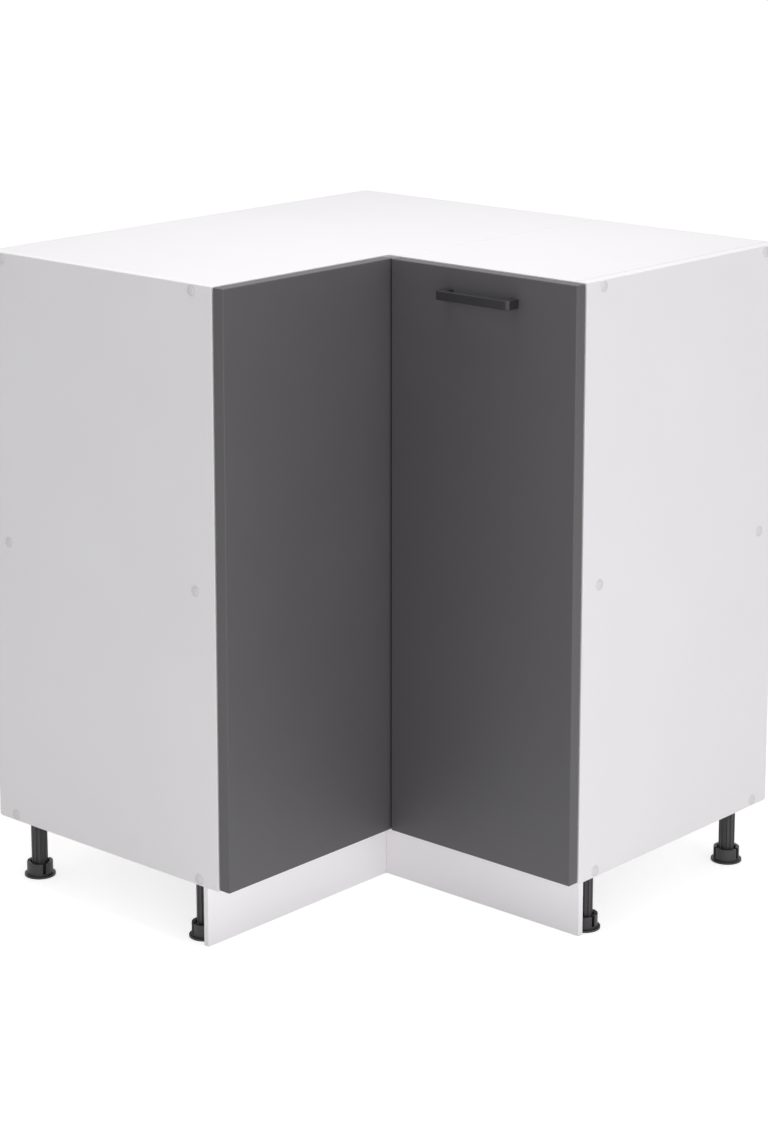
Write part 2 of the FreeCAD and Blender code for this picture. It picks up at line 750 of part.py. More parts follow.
def leaves():
    """Two door leaves with eased edges, bored for the cups, the hinge screws and the handle."""
    height = "leaf_high - (leaf_low)"
    left = padded_block("left_leaf_board", "leaf_thickness", "left_leaf_end + leaf_edge", height,
                        "leaf_edge_radius")
    put(left, "leaf_back", "-leaf_edge", "leaf_low")
    right = padded_block("right_leaf_board", "leaf_edge - (right_leaf_end)", "leaf_thickness", height,
                         "leaf_edge_radius")
    put(right, "right_leaf_end", "-leaf_front", "leaf_low")
    left_tools, right_tools = [], []
    for level in HINGE_LEVELS:
        left_tools += cup_bore("left", level) + holes(fold_screw_points(level), FOLD_SCREW)
        right_tools += cup_bore("right", level)
    right_tools += holes(handle_screw_points(), HANDLE_SCREW)
    node("left_leaf", cut(left, left_tools))
    node("right_leaf", cut(right, right_tools))
    for leaf in ("left", "right"):
        node(f"{leaf}_leaf_cups", group([cup(leaf, level) for level in HINGE_LEVELS]))
        node(f"{leaf}_leaf_cup_pins", group([cup_pin(leaf, level) for level in HINGE_LEVELS]))
        screws = []
        for level in HINGE_LEVELS:
            screws += [fastener(*point, headed(CUP_SCREW)) for point in cup_points(leaf, level)[1]]
        node(f"{leaf}_leaf_cup_screws", group(screws))


def handle():
    """A bow handle: a flat bar on two short legs, rounded at its corners, screwed from behind the leaf."""
    body = padded_block("handle_block", "handle_length", "handle_reach", "handle_height",
                        "handle_edge_radius", "handle_corner_radius")
    put(body, "handle_middle - handle_length / 2", "-leaf_front - handle_reach",
        "handle_level - handle_height / 2")
    gap = box(("handle_middle - handle_length / 2 + handle_leg_width",
               "handle_middle + handle_length / 2 - handle_leg_width"),
              ("-leaf_front - handle_reach + handle_bar_depth", "-leaf_front"),
              ("handle_level - handle_height", "handle_level + handle_height"))
    node("handle", cut(body, [gap] + holes(handle_screw_points(), HANDLE_SCREW)))
    steps = [(HEAD[0], HEAD[1], "0")] + HANDLE_SCREW
    node("handle_screws", group([fastener(*point, steps) for point in handle_screw_points()]))
    buffers = []
    for level in ("leaf_low + buffer_end_inset", "leaf_high - buffer_end_inset"):
        buffers.append(rod("y", "side_out - board / 2", "-leaf_back", level, "buffer_diameter",
                           "leaf_gap - buffer_clearance"))
    node("door_buffers", group(buffers))


def wing_screw_points(level):
    x = "front - plate_setback - plate_length / 2"
    return [("-y", x, "-side_in", f"{level} {side} wing_screw_spacing / 2") for side in ("-", "+")]


def wing_screw_holes(level):
    return holes(wing_screw_points(level), WING_SCREW)


def tall(level, half_height):
    return f"{level} - ({half_height})", f"{level} + ({half_height})"


def side_hinges():
    """Mounting plate, channel arm with its pin, and the lever that carries the left leaf's cup."""
    plates, screws, arms, pins, levers = [], [], [], [], []
    for level in HINGE_LEVELS:
        rear, fore = "front - plate_setback - plate_length", "front - plate_setback"
        middle = "front - plate_setback - plate_length / 2"
        spine = box((rear, fore), ("-side_in", "-plate_face"), tall(level, "plate_height / 2"))
        wings = box((f"{middle} - wing_length / 2", f"{middle} + wing_length / 2"),
                    ("-side_in", "-plate_face"), tall(level, "wing_height / 2"))
        plates.append(cut(fuse([spine, wings]), wing_screw_holes(level)))
        screws += [fastener(*point, headed(WING_SCREW)) for point in wing_screw_points(level)]
        base = box(("front - arm_start_setback - arm_length", "front - arm_start_setback"),
                   ("-plate_face", "arm_thickness - plate_face"), tall(level, "cheek_out"))
        cheeks = box(("arm_pin_x + arm_nose - cheek_length", "arm_pin_x + arm_nose"),
                     ("-plate_face", "arm_pin_y + eye_diameter / 2 + cheek_thickness"),
                     tall(level, "cheek_out"))
        slot = box(("arm_pin_x - cheek_length * 2", "arm_pin_x + cheek_length"),
                   ("arm_thickness - plate_face", "arm_pin_y + cheek_length"), tall(level, "cheek_in"))
        mouth = box(("front - arm_start_setback", "arm_pin_x + cheek_length"),
                    ("-plate_face", "arm_pin_y + cheek_length"), tall(level, "cheek_in"))
        bore = rod("z", "arm_pin_x", "arm_pin_y", f"{level} - (cheek_out)",
                   "hinge_pin_diameter + 2 * pin_clearance", "2 * (cheek_out)")
        arms.append(cut(fuse([base, cheeks]), [slot, mouth, bore]))
        pins.append(rod("z", "arm_pin_x", "arm_pin_y", f"{level} - (cheek_out)", "hinge_pin_diameter",
                        "2 * (cheek_out)"))
        crown = ("leaf_back + lever_crown_depth", "lever_crown_from_edge - leaf_edge")
        levers.append(lever(level, ("cup_pin_x", "cup_pin_y"), crown, ("arm_pin_x", "arm_pin_y"),
                            "eye_diameter", "hinge_pin_diameter + 2 * pin_clearance"))
    node("hinge_plates", group(plates))
    node("hinge_plate_screws", group(screws))
    node("hinge_arms", group(arms))
    node("hinge_arm_pins", group(pins))
    node("hinge_levers", group(levers))


def lever(level, cup_end, crown, arm_end, eye, bore):
    """A curved steel lever through three points in plan, with an eye at each end."""
    low = f"{level} - lever_height / 2"
    points = [point(x, y, low) for x, y in (cup_end, crown, arm_end)]
    curve = Part.Arc(*points).toShape().Curve
    rails = []
    for side in (-1, 1):
        share = 1 + side * sheet.get("lever_width") / 2 / curve.Radius
        rails.append([curve.Center + (place - curve.Center) * share for place in points])
    edges = [
        Part.Arc(*rails[0]).toShape(),
        Part.LineSegment(rails[0][2], rails[1][2]).toShape(),
        Part.Arc(*reversed(rails[1])).toShape(),
        Part.LineSegment(rails[1][0], rails[0][0]).toShape(),
    ]
    strap = doc.addObject("Part::Feature", "Strap")
    strap.Shape = Part.Face(Part.Wire(edges)).extrude(Vector(0, 0, sheet.get("lever_height")))
    strap.Placement = Placement()
    eyes = [rod("z", *cup_end, low, eye, "lever_height"),
            rod("z", *arm_end, low, "eye_diameter", "lever_height")]
    bores = [rod("z", *cup_end, low, bore, "lever_height"),
             rod("z", *arm_end, low, "hinge_pin_diameter + 2 * pin_clearance", "lever_height")]
    return cut(fuse([strap] + eyes), bores)


def fold_screw_points(level):
    """Screws of one folding hinge's plate, into the back of the left leaf."""
    points = []
    for along_leaf in ("fold_plate_length / 4", "3 * fold_plate_length / 4"):
        y = f"left_leaf_end - fold_plate_setback - {along_leaf}"
        for side in ("-", "+"):
            points.append(("x", "leaf_back", y, f"{level} {side} fold_screw_spacing / 2"))
    return points


def fold_hinges():
    """Plate and cheeks on the left leaf's back, with a pin and the lever to the right leaf's cup."""
    arms, screws, pins, levers = [], [], [], []
    for level in HINGE_LEVELS:
        plate = box(("leaf_back - fold_plate_thickness", "leaf_back"),
                    ("left_leaf_end - fold_plate_setback - fold_plate_length",
                     "left_leaf_end - fold_plate_setback"), tall(level, "fold_plate_height / 2"))
        cheeks = box(("fold_pin_x - eye_diameter / 2", "leaf_back"),
                     ("left_leaf_end - fold_plate_setback - cheek_length / 2", "fold_pin_y + arm_nose"),
                     tall(level, "cheek_out"))
        slot = box(("fold_pin_x - cheek_length", "leaf_back"),
                   ("left_leaf_end - fold_plate_setback", "fold_pin_y + cheek_length"),
                   tall(level, "cheek_in"))
        bore = rod("z", "fold_pin_x", "fold_pin_y", f"{level} - (cheek_out)",
                   "hinge_pin_diameter + 2 * pin_clearance", "2 * (cheek_out)")
        tools = [slot, bore] + holes(fold_screw_points(level), FOLD_SCREW)
        arms.append(cut(fuse([plate, cheeks]), tools))
        screws += [fastener(*point, headed(FOLD_SCREW)) for point in fold_screw_points(level)]
        pins.append(rod("z", "fold_pin_x", "fold_pin_y", f"{level} - (cheek_out)", "hinge_pin_diameter",
                        "2 * (cheek_out)"))
        crown = ("leaf_back", "fold_crown_back - leaf_back")
        levers.append(lever(level, ("fold_cup_pin_x", "fold_cup_pin_y"), crown, ("fold_pin_x", "fold_pin_y"),
                            "fold_eye_diameter", "fold_eye_bore"))
    node("fold_hinge_arms", group(arms))
    node("fold_hinge_screws", group(screws))
    node("fold_hinge_pins", group(pins))
    node("fold_hinge_levers", group(levers))


def write():
    """Recompute, refuse anything failed, and write one file for each node."""
    doc.recompute()
    for item in doc.Objects:
        if "Invalid" in item.State or "Error" in item.State:
            raise RuntimeError(f"{item.Name} {item.Label}: {item.State}")
    os.makedirs("parts", exist_ok=True)
    for item in nodes:
        shape = item.Shape
        if shape.isNull() or not shape.isValid() or not shape.Solids:
            raise RuntimeError(f"{item.Label} has no valid solid")
        shape.exportStep(f"parts/{item.Label}.step")
        print(item.Label, len(shape.Solids), round(shape.Volume))


side_panels()
boards()
back_panels()
carcass_fasteners()
legs()
plinths()
leaves()
handle()
side_hinges()
fold_hinges()
write()
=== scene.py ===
"""Looks of a corner base cabinet: white melamine carcass, grey folding leaves, black handle and legs."""
import math

import bmesh
import bpy
from mathutils import Matrix, Vector


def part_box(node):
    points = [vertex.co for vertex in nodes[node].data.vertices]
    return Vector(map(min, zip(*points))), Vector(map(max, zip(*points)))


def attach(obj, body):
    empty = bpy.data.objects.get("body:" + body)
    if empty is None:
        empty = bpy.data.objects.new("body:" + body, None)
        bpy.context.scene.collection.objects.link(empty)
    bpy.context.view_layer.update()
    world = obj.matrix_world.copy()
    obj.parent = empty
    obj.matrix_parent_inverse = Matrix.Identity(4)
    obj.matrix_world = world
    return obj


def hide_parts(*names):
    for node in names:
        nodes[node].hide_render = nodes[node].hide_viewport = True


bl_info = {
    "name": "Corner Base Cabinet",
    "version": (1, 0, 0),
    "blender": (4, 5, 0),
    "location": "View3D > Sidebar > Cabinet",
    "description": "Dresses the packed corner base cabinet and sets its studio",
    "category": "Object",
}

MM = 0.001
# Points nearer than this count as one, in metres
SAME = 1e-6
IMAGE_WIDTH = 768
IMAGE_HEIGHT = 1146
# Depth of the bare brown skin on the rear of the backs
REAR_SKIN = 0.1 * MM
# Share of a face's normal over which the face looks along an axis
FACING = 0.9
# Steps of a screw cap's spin
CAP_STEPS = 32
# Edges of the handle that are sharper than this are eased
HANDLE_RIM_ANGLE = math.radians(60)
# Edges of the finished handle that are sharper than this stay sharp in its shading
HANDLE_SHARP_ANGLE = math.radians(50)
# Half of the floor's side and how far the camera sees, in metres
FLOOR_HALF = 14
CAMERA_REACH = 100
# Width of the camera's sensor, in millimetres
SENSOR_WIDTH = 36
# Point that the main lamps face, in the cabinet's middle
MIDDLE = (0.0, 0.0, 0.4)
# Place, width and aim of each lamp, in metres: its power is the studio's value of the same name
LAMPS = {
    "key": ((4.6, -0.3, 0.7), 1.6, MIDDLE),
    "fill": ((2.9, -3.4, 0.9), 2.4, MIDDLE),
    "top": ((0.15, -0.15, 2.4), 1.0, (0.15, -0.15, 0.0)),
    "bounce": ((0.85, -0.85, 0.01), 1.6, (0.85, -0.85, 1.0)),
}

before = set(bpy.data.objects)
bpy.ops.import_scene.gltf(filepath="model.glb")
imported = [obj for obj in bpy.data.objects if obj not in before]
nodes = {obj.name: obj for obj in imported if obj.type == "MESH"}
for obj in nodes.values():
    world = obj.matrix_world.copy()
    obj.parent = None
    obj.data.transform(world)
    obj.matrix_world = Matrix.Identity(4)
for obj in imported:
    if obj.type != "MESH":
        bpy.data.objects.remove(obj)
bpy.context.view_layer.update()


def linear(code):
    """An sRGB hex colour as linear red, green and blue."""
    shares = [int(code[start:start + 2], 16) / 255 for start in (0, 2, 4)]
    return tuple(s / 12.92 if s <= 0.04045 else ((s + 0.055) / 1.055) ** 2.4 for s in shares)


def colour_property(name, description, code):
    """A colour that a user can change, from its sRGB hex value."""
    return bpy.props.FloatVectorProperty(
        name=name, description=description, subtype="COLOR", size=3, min=0, max=1, default=linear(code))


def length_property(name, description, millimetres):
    """A size that a user can change, given in millimetres."""
    return bpy.props.FloatProperty(
        name=name, description=description, unit="LENGTH", min=0, precision=5, default=millimetres * MM)


def power_property(name, description, watts):
    """A lamp's power that a user can change."""
    return bpy.props.FloatProperty(name=name, description=description, unit="POWER", default=watts)


class CabinetColours(bpy.types.PropertyGroup):
    """Colours of the cabinet's surfaces."""
    melamine: colour_property("Melamine", "White of the carcass boards", "EBE9EB")
    # The plinth's white is brighter than the melamine's: painted light that makes up for the shade under the
    # leaves' overhang
    plinth: colour_property("Plinth", "Whiter foil of the plinth boards", "F8F6F8")
    edging: colour_property("Edging", "White of the strip glued on the boards' edges", "ECEAEC")
    laminate: colour_property("Leaf", "Grey of the door leaves", "504E50")
    hardboard: colour_property("Hardboard", "Bare rear of the thin backs", "8A6B4A")
    # The caps' white is darker than the boards': painted shade that stands in for the shade round each cap's
    # rim
    cap: colour_property("Caps", "White of the screw caps", "DCDADC")
    black_plastic: colour_property("Legs", "Black of the legs and clips", "2C2A2C")
    black_metal: colour_property("Handle", "Black of the handle", "232124")
    nickel: colour_property("Hinges", "Nickel of the hinges", "C9C7C2")
    zinc: colour_property("Fasteners", "Zinc of the screws and nails", "B9BCC0")
    beech: colour_property("Dowels", "Wood of the dowels", "C9A678")
    buffer: colour_property("Buffers", "Water white of the clear buffers", "E8EAEA")
    floor: colour_property("Floor", "Pale floor of the studio", "F4F4F4")


class CabinetSizes(bpy.types.PropertyGroup):
    """Small sizes that only the eye needs."""
    board_ease: length_property("Board arris", "Width of the eased arris on the white boards", 0.8)
    board_joint: length_property("Board joint", "Hairline between the short boards and the right side", 0.7)
    cap_rim: length_property("Cap rim", "Width of the low rim round a screw cap", 1.0)
    handle_corner: length_property("Handle corner", "Radius of the handle's corners seen from above", 4.5)
    handle_ease: length_property("Handle edge", "Radius along the handle's edges", 0.7)
    handle_leg: length_property("Handle leg", "Width of each of the handle's legs", 12.0)
    handle_bar: length_property("Handle bar", "Depth of the handle's bar", 7.0)


class CabinetStudio(bpy.types.PropertyGroup):
    """Light and camera of the studio."""
    key: power_property("Key", "Power of the lamp on the right", 43)
    fill: power_property("Fill", "Power of the lamp in front", 42)
    top: power_property("Top", "Power of the lamp overhead", 19)
    bounce: power_property("Bounce", "Power of the lamp that lies in front and faces up", 1.4)
    sky: bpy.props.FloatProperty(name="Sky", description="Light from all round", min=0, default=0.46)
    glow: bpy.props.FloatProperty(
        name="Floor glow", description="White that the floor adds where seen", default=0.62)
    place: bpy.props.FloatVectorProperty(
        name="Camera", description="Where the camera stands", subtype="TRANSLATION", unit="LENGTH", size=3,
        default=(2.352, -2.640, 1.392))
    turn: bpy.props.FloatProperty(
        name="Turn", description="Camera's turn about the vertical", subtype="ANGLE", default=0.7284)
    tilt: bpy.props.FloatProperty(
        name="Tilt", description="Camera's tilt below the horizon", subtype="ANGLE", default=0.2032)
    focus: bpy.props.FloatProperty(
        name="Focal length", description="Focal length in pixels of the photograph", default=2891)
    lift: bpy.props.FloatProperty(name="Lift", description="Upright shift of the lens", default=-0.18)


def add(tree, kind, sockets=None, **settings):
    """A new node with its settings and socket values: a node as a value is linked by its first output."""
    made = tree.nodes.new(kind)
    for name, value in settings.items():
        setattr(made, name, value)
    for name, value in (sockets or {}).items():
        if isinstance(value, bpy.types.Node):
            value = next(output for output in value.outputs if output.enabled)
        if isinstance(value, bpy.types.NodeSocket):
            tree.links.new(value, made.inputs[name])
        else:
            made.inputs[name].default_value = value
    return made


def new_material(name):
    """An empty node material, with the place on the piece in metres."""
    material = bpy.data.materials.new(name)
    material.use_nodes = True
    tree = material.node_tree
    tree.nodes.clear()
    place = add(tree, "ShaderNodeTexCoord").outputs["Object"]
    return material, tree, place


def tone(colour, share):
    """A darker or lighter tone of a colour, as a socket takes it."""
    return tuple(min(1, channel * share) for channel in colour) + (1,)


def per_mm(millimetres):
    """Noise scale for marks of this size."""
    return 1 / (millimetres * MM)


def melamine_board(name, colour):
    """Melamine-faced chipboard pressed on a pearl plate: satin white with a fine even grain in its gloss."""
    material, tree, place = new_material(name)
    # The pearl grain is near 0.4 mm and is drawn at 1.2 mm so that it shows
    pearl = add(tree, "ShaderNodeTexNoise", {"Vector": place, "Scale": per_mm(1.2), "Detail": 3})
    cloud = add(tree, "ShaderNodeTexNoise", {"Vector": place, "Scale": per_mm(180), "Detail": 2})
    gloss = add(tree, "ShaderNodeMapRange", {"Value": pearl, "To Min": 0.48, "To Max": 0.6})
    bump = add(tree, "ShaderNodeBump", {"Height": pearl, "Strength": 0.12, "Distance": 0.08 * MM})
    white = add(tree, "ShaderNodeMix", {"Factor": cloud, "A": tone(colour, 0.975), "B": tone(colour, 1.02)},
                data_type="RGBA")
    surface = add(tree, "ShaderNodeBsdfPrincipled", {
        "Base Color": white, "Roughness": gloss, "IOR": 1.5, "Specular IOR Level": 0.35, "Normal": bump})
    add(tree, "ShaderNodeOutputMaterial", {"Surface": surface})
    return material


def board_edging(colours):
    """ABS edging, glued and scraped flush: a little whiter and smoother, with faint scraper chatter."""
    material, tree, place = new_material("abs_edging_white")
    run = add(tree, "ShaderNodeMapping", {"Vector": place, "Scale": (1, 1, 0.15)})
    chatter = add(tree, "ShaderNodeTexNoise", {"Vector": run, "Scale": per_mm(2.5), "Detail": 2})
    gloss = add(tree, "ShaderNodeMapRange", {"Value": chatter, "To Min": 0.4, "To Max": 0.52})
    bump = add(tree, "ShaderNodeBump", {"Height": chatter, "Strength": 0.1, "Distance": 0.05 * MM})
    white = add(tree, "ShaderNodeMix", {
        "Factor": chatter, "A": tone(colours.edging, 0.98), "B": tone(colours.edging, 1.01)},
        data_type="RGBA")
    surface = add(tree, "ShaderNodeBsdfPrincipled", {
        "Base Color": white, "Roughness": gloss, "IOR": 1.53, "Normal": bump})
    add(tree, "ShaderNodeOutputMaterial", {"Surface": surface})
    return material


def leaf_laminate(colours):
    """Matt laminate on board: an even warm grey, soft in its shine, with a powdery fine grain."""
    material, tree, place = new_material("laminate_matt_grey")
    # The powdery grain is finer than 0.2 mm and is drawn at 0.9 mm so that it shows
    powder = add(tree, "ShaderNodeTexNoise", {"Vector": place, "Scale": per_mm(0.9), "Detail": 4})
    drift = add(tree, "ShaderNodeTexNoise", {"Vector": place, "Scale": per_mm(140), "Detail": 3})
    both = add(tree, "ShaderNodeMix", {"Factor": 0.5, "A": powder, "B": drift})
    gloss = add(tree, "ShaderNodeMapRange", {"Value": both, "To Min": 0.42, "To Max": 0.6})
    bump = add(tree, "ShaderNodeBump", {"Height": powder, "Strength": 0.15, "Distance": 0.06 * MM})
    grey = add(tree, "ShaderNodeMix", {
        "Factor": both, "A": tone(colours.laminate, 0.9), "B": tone(colours.laminate, 1.1)},
        data_type="RGBA")
    surface = add(tree, "ShaderNodeBsdfPrincipled", {
        "Base Color": grey, "Roughness": gloss, "IOR": 1.5, "Specular IOR Level": 0.5, "Normal": bump})
    add(tree, "ShaderNodeOutputMaterial", {"Surface": surface})
    return material


def back_hardboard(colours):
    """Lacquered hardboard: white inside the cabinet, bare brown fibre on the rear."""
    material, tree, place = new_material("hardboard_lacquered")
    fibre = add(tree, "ShaderNodeTexNoise", {
        "Vector": place, "Scale": per_mm(3), "Detail": 6, "Distortion": 0.6})
    # Only the rear face is bare: it lies on the plane where the left back ends
    rear_plane = -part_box("left_back_panel")[0].x - REAR_SKIN
    axes = add(tree, "ShaderNodeSeparateXYZ", {"Vector": place}).outputs
    left = add(tree, "ShaderNodeMath", {0: axes["X"], 1: -1.0}, operation="MULTIPLY")
    outer = add(tree, "ShaderNodeMath", {0: left, 1: axes["Y"]}, operation="MAXIMUM")
    rear = add(tree, "ShaderNodeMath", {0: outer, 1: rear_plane}, operation="GREATER_THAN")
    white = add(tree, "ShaderNodeMix", {
        "Factor": fibre, "A": tone(colours.melamine, 0.96), "B": tone(colours.melamine, 1.0)},
        data_type="RGBA")
    brown = add(tree, "ShaderNodeMix", {
        "Factor": fibre, "A": tone(colours.hardboard, 0.7), "B": tone(colours.hardboard, 1.25)},
        data_type="RGBA")
    colour = add(tree, "ShaderNodeMix", {"Factor": rear, "A": white, "B": brown}, data_type="RGBA")
    gloss = add(tree, "ShaderNodeMapRange", {"Value": rear, "To Min": 0.4, "To Max": 0.85})
    bump = add(tree, "ShaderNodeBump", {"Height": fibre, "Strength": 0.25, "Distance": 0.15 * MM})
    surface = add(tree, "ShaderNodeBsdfPrincipled", {
        "Base Color": colour, "Roughness": gloss, "Normal": bump})
    add(tree, "ShaderNodeOutputMaterial", {"Surface": surface})
    return material


def cap_plastic(colours):
    """Moulded polypropylene: a slightly waxy white with soft shine."""
    material, tree, place = new_material("polypropylene_moulded_white")
    skin = add(tree, "ShaderNodeTexNoise", {"Vector": place, "Scale": per_mm(2), "Detail": 2})
    gloss = add(tree, "ShaderNodeMapRange", {"Value": skin, "To Min": 0.3, "To Max": 0.42})
    bump = add(tree, "ShaderNodeBump", {"Height": skin, "Strength": 0.1, "Distance": 0.05 * MM})
    # The whole cap is darker than the boards: painted shade for the shade round its rim
    white = add(tree, "ShaderNodeMix", {
        "Factor": skin, "A": tone(colours.cap, 0.97), "B": tone(colours.cap, 1.0)}, data_type="RGBA")
    surface = add(tree, "ShaderNodeBsdfPrincipled", {
        "Base Color": white, "Roughness": gloss, "IOR": 1.49, "Normal": bump})
    add(tree, "ShaderNodeOutputMaterial", {"Surface": surface})
    return material


def leg_plastic(colours):
    """Moulded ABS, spark-eroded mould: near-black with a fine leathery grain and dust in its hollows."""
    material, tree, place = new_material("abs_moulded_black")
    # The mould's grain is near 0.2 mm and is drawn at 0.8 mm so that it shows
    grain = add(tree, "ShaderNodeTexVoronoi", {"Vector": place, "Scale": per_mm(0.8)})
    dust = add(tree, "ShaderNodeTexNoise", {"Vector": place, "Scale": per_mm(9), "Detail": 4})
    gloss = add(tree, "ShaderNodeMapRange", {"Value": dust, "To Min": 0.38, "To Max": 0.6})
    bump = add(tree, "ShaderNodeBump", {"Height": grain, "Strength": 0.2, "Distance": 0.08 * MM})
    black = add(tree, "ShaderNodeMix", {
        "Factor": dust, "A": tone(colours.black_plastic, 0.75), "B": tone(colours.black_plastic, 1.35)},
        data_type="RGBA")
    surface = add(tree, "ShaderNodeBsdfPrincipled", {
        "Base Color": black, "Roughness": gloss, "IOR": 1.53, "Normal": bump})
    add(tree, "ShaderNodeOutputMaterial", {"Surface": surface})
    return material


def handle_paint(colours):
    """Powder-coated zinc casting: satin black with the coat's fine orange peel."""
    material, tree, place = new_material("powder_coat_black")
    peel = add(tree, "ShaderNodeTexNoise", {"Vector": place, "Scale": per_mm(0.7), "Detail": 2})
    gloss = add(tree, "ShaderNodeMapRange", {"Value": peel, "To Min": 0.36, "To Max": 0.52})
    bump = add(tree, "ShaderNodeBump", {"Height": peel, "Strength": 0.25, "Distance": 0.05 * MM})
    black = add(tree, "ShaderNodeMix", {
        "Factor": peel, "A": tone(colours.black_metal, 0.85), "B": tone(colours.black_metal, 1.2)},
        data_type="RGBA")
    surface = add(tree, "ShaderNodeBsdfPrincipled", {
        "Base Color": black, "Roughness": gloss, "IOR": 1.5, "Normal": bump})
    add(tree, "ShaderNodeOutputMaterial", {"Surface": surface})
    return material


def plated_steel(name, colour, smooth, rough):
    """Plated pressed steel: bright, with the streaks of its rolling and cloudy plating."""
    material, tree, place = new_material(name)
    run = add(tree, "ShaderNodeMapping", {"Vector": place, "Scale": (1, 1, 0.08)})
    # The rolling streaks are finer than 0.1 mm and are drawn at 0.6 mm so that they show
    streak = add(tree, "ShaderNodeTexNoise", {"Vector": run, "Scale": per_mm(0.6), "Detail": 3})
    cloud = add(tree, "ShaderNodeTexNoise", {"Vector": place, "Scale": per_mm(6), "Detail": 2})
    gloss = add(tree, "ShaderNodeMapRange", {"Value": streak, "To Min": smooth, "To Max": rough})
    bump = add(tree, "ShaderNodeBump", {"Height": streak, "Strength": 0.08, "Distance": 0.03 * MM})
    bright = add(tree, "ShaderNodeMix", {"Factor": cloud, "A": tone(colour, 0.88), "B": tone(colour, 1.08)},
                 data_type="RGBA")
    surface = add(tree, "ShaderNodeBsdfPrincipled", {
        "Base Color": bright, "Metallic": 1.0, "Roughness": gloss, "Normal": bump})
    add(tree, "ShaderNodeOutputMaterial", {"Surface": surface})
    return material


def dowel_beech(colours):
    """Turned beech: pale tan with short dark flecks along the grain."""
    material, tree, place = new_material("beech_turned")
    run = add(tree, "ShaderNodeMapping", {"Vector": place, "Scale": (0.12, 1, 1)})
    fleck = add(tree, "ShaderNodeTexNoise", {"Vector": run, "Scale": per_mm(0.9), "Detail": 4})
    bump = add(tree, "ShaderNodeBump", {"Height": fleck, "Strength": 0.2, "Distance": 0.05 * MM})
    tan = add(tree, "ShaderNodeMix", {
        "Factor": fleck, "A": tone(colours.beech, 0.7), "B": tone(colours.beech, 1.15)}, data_type="RGBA")
    surface = add(tree, "ShaderNodeBsdfPrincipled", {"Base Color": tan, "Roughness": 0.6, "Normal": bump})
    add(tree, "ShaderNodeOutputMaterial", {"Surface": surface})
    return material


def buffer_rubber(colours):
    """Clear polyurethane drop: water-white, soft and slightly hazy."""
    material, tree, place = new_material("polyurethane_clear")
    haze = add(tree, "ShaderNodeTexNoise", {"Vector": place, "Scale": per_mm(2), "Detail": 2})
    gloss = add(tree, "ShaderNodeMapRange", {"Value": haze, "To Min": 0.12, "To Max": 0.3})
    clear = add(tree, "ShaderNodeMix", {
        "Factor": haze, "A": tone(colours.buffer, 0.9), "B": tone(colours.buffer, 1.0)}, data_type="RGBA")
    surface = add(tree, "ShaderNodeBsdfPrincipled", {
        "Base Color": clear, "Roughness": gloss, "IOR": 1.49, "Transmission Weight": 0.5})
    add(tree, "ShaderNodeOutputMaterial", {"Surface": surface})
    return material


def dress(material, *names):
    """Give carried-over nodes one material."""
    for name in names:
        mesh = nodes[name].data
        mesh.materials.clear()
        mesh.materials.append(material)


def piece(name, shape, materials, body, slot, *stands_for):
    """A finished mesh as an object that rides on a body in place of some nodes."""
    mesh = bpy.data.meshes.new(name)
    shape.to_mesh(mesh)
    shape.free()
    for material in materials:
        mesh.materials.append(material)
    made = bpy.data.objects.new(name, mesh)
    bpy.context.scene.collection.objects.link(made)
    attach(made, body)
    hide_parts(*stands_for)
    return made


def ease(shape, edges, width, segments):
    """Round some edges of a shape."""
    bmesh.ops.bevel(shape, geom=edges, offset=width, offset_type="OFFSET", affect="EDGES", segments=segments,
                    profile=0.5, material=-1, clamp_overlap=True)


def outline_block(corners, low, high):
    """A flat outline raised into a block."""
    shape = bmesh.new()
    base = shape.faces.new([shape.verts.new((x, y, low)) for x, y in corners])
    raised = bmesh.ops.extrude_face_region(shape, geom=[base])["geom"]
    tops = [item for item in raised if isinstance(item, bmesh.types.BMVert)]
    bmesh.ops.translate(shape, vec=(0, 0, high - low), verts=tops)
    bmesh.ops.recalc_face_normals(shape, faces=shape.faces[:])
    return shape


def name_edging(shape, thin):
    """Mark the narrow faces of a board as edging: those that don't face along its thin axis."""
    for face in shape.faces:
        face.material_index = 0 if abs(face.normal[thin]) > FACING else 1


BOARDS = (
    "left_side_panel", "right_side_panel", "bottom_short_board", "shelf_short_board", "top_short_board",
    "left_plinth", "right_plinth")
PLINTHS = ("left_plinth", "right_plinth")
STEPPED_BOARDS = ("bottom_long_board", "shelf_long_board", "top_long_board")


class CABINET_OT_boards(bpy.types.Operator):
    """White boards with eased arrises and edging on their narrow faces"""
    bl_idname = "cabinet.boards"
    bl_label = "White boards"

    def execute(self, context):
        colours = context.scene.cabinet_colours
        width = context.scene.cabinet_sizes.board_ease
        joint = context.scene.cabinet_sizes.board_joint
        materials = [melamine_board("melamine_pearl_white", colours.melamine), board_edging(colours)]
        # A brighter copy of the white melamine for the plinths: painted light in place of the shade under
        # the leaves' overhang
        painted_light_white = melamine_board("melamine_foil_bright_white", colours.plinth)
        for name in BOARDS:
            low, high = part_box(name)
            if name.endswith("short_board"):
                high.x -= joint
            size = high - low
            shape = bmesh.new()
            bmesh.ops.create_cube(shape, size=1)
            bmesh.ops.scale(shape, vec=size, verts=shape.verts)
            bmesh.ops.translate(shape, vec=(low + high) / 2, verts=shape.verts)
            ease(shape, shape.edges[:], width, segments=2)
            name_edging(shape, min(range(3), key=lambda axis: size[axis]))
            faces = [painted_light_white, painted_light_white] if name in PLINTHS else materials
            piece("eased_" + name, shape, faces, "carcass", "white_board", name)
        for name in STEPPED_BOARDS:
            low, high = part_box(name)
            front = -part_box(name.replace("long", "short"))[0].y
            corners = [(low.x, low.y), (front, low.y), (front, -front), (high.x, -front), (high.x, high.y),
                       (low.x, high.y)]
            shape = outline_block(corners, low.z, high.z)
            ease(shape, shape.edges[:], width, segments=2)
            name_edging(shape, 2)
            piece("eased_" + name, shape, materials, "carcass", "white_board", name)
        return {"FINISHED"}


